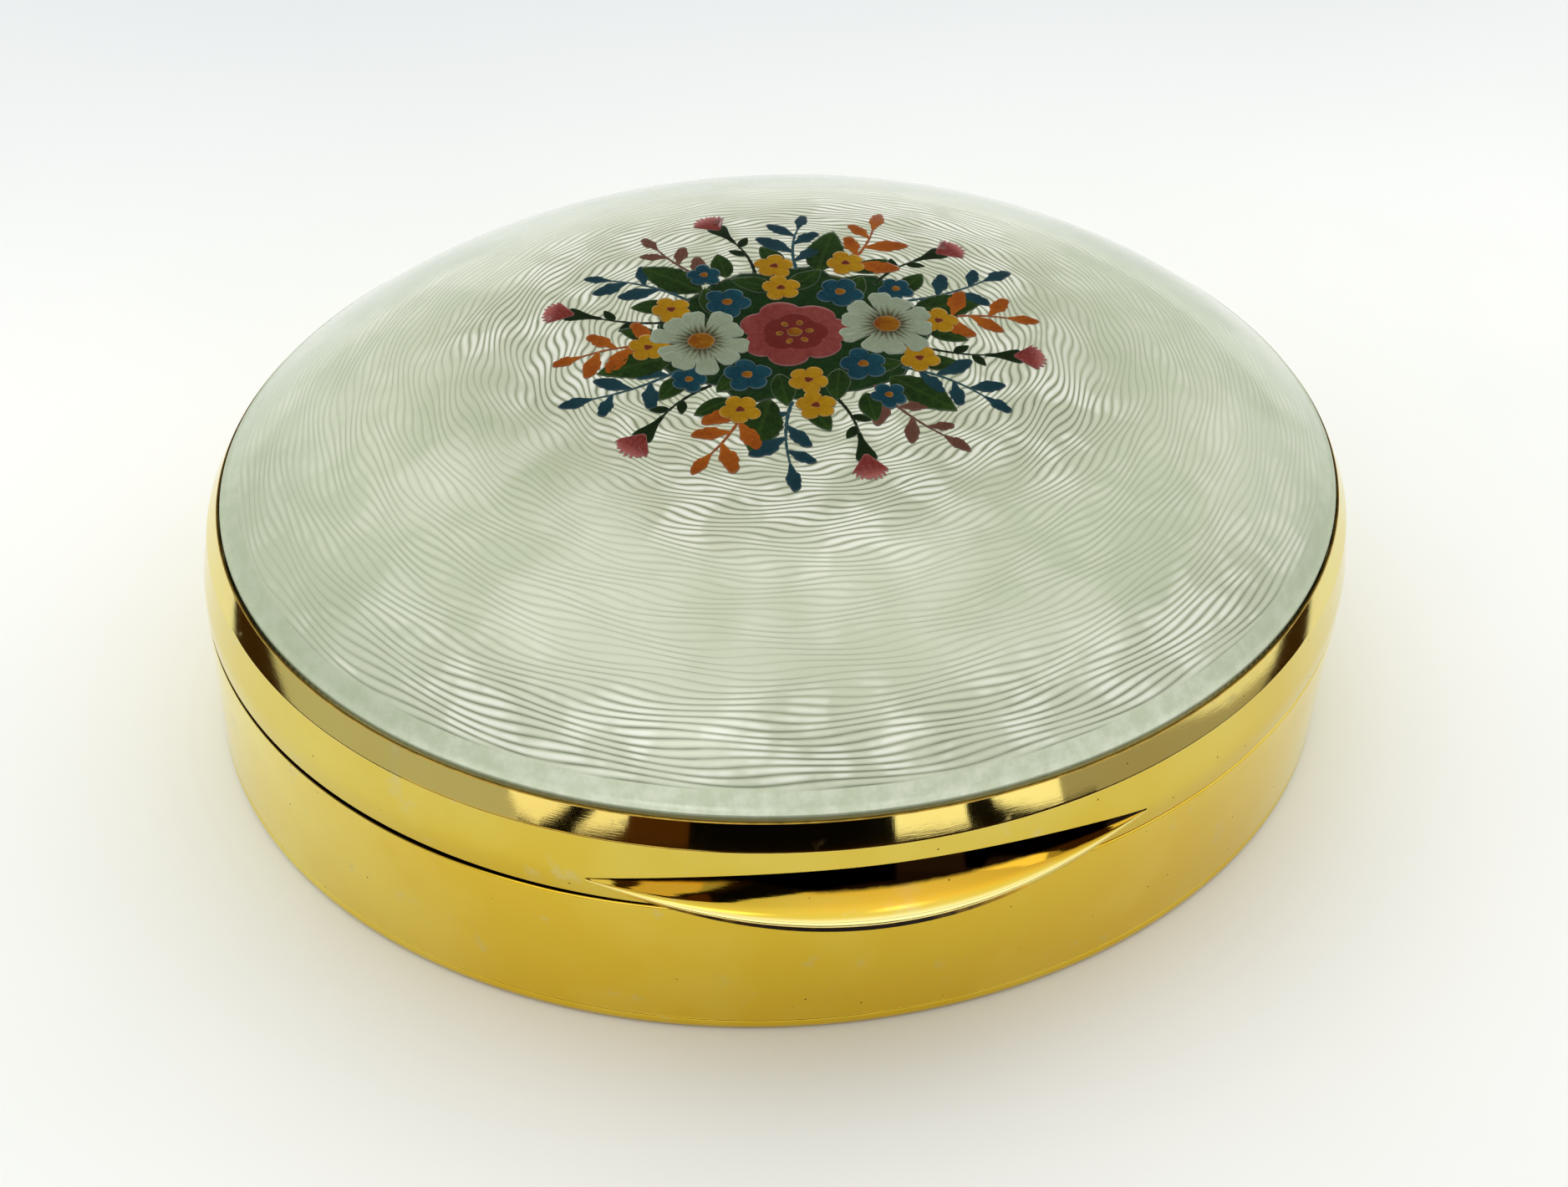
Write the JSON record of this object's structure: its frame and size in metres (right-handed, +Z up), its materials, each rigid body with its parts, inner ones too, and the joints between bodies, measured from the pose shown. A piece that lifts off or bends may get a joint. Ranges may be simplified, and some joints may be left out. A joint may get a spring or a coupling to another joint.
{
  "type": "oval pill box",
  "caption": "Oval gilt metal pill box: a shallow walled base and a hinged, domed lid with engine-turned enamel, a painted bouquet and a crescent thumb lift.",
  "frame": {"origin": "on the table, under the centre of the box's outline", "axes": "+X along the long side, +Y towards the hinge with the thumb lift at -Y, +Z up through the lid"},
  "size_m": [0.06, 0.0532, 0.0226],
  "materials": {
    "gilt_silver": "polished gilt silver with faint scratches",
    "gilt_inside": "softly brushed gilt silver",
    "engraved_silver": "engine-turned silver under the enamel",
    "green_enamel": "pale cream-green fired enamel, gloss",
    "steel_pin": "drawn wire"
  },
  "bodies": {
    "base": {"base_bottom": "gilt_silver", "base_wall": "gilt_silver", "base_bezel": "gilt_inside", "base_hinge_gutter": "gilt_silver", "base_knuckle_left": "gilt_silver", "base_knuckle_centre": "gilt_silver", "base_knuckle_right": "gilt_silver", "hinge_pin": "steel_pin"},
    "lid": {"lid_rim": "gilt_silver", "thumb_lift": "gilt_silver", "lid_plate": "engraved_silver", "lid_enamel": "green_enamel", "lid_counter_enamel": "green_enamel", "lid_liner": "gilt_inside", "lid_liner_ring": "gilt_inside", "lid_hinge_gutter": "gilt_silver", "lid_knuckle_left": "gilt_silver", "lid_knuckle_right": "gilt_silver"}
  },
  "joints": [
    {"name": "lid_hinge", "type": "hinge", "parent": "base", "child": "lid", "pos_m": [0, 0.02488, 0.00912], "axis": [-1, 0, 0], "range_deg": [0, 105]}
  ]
}
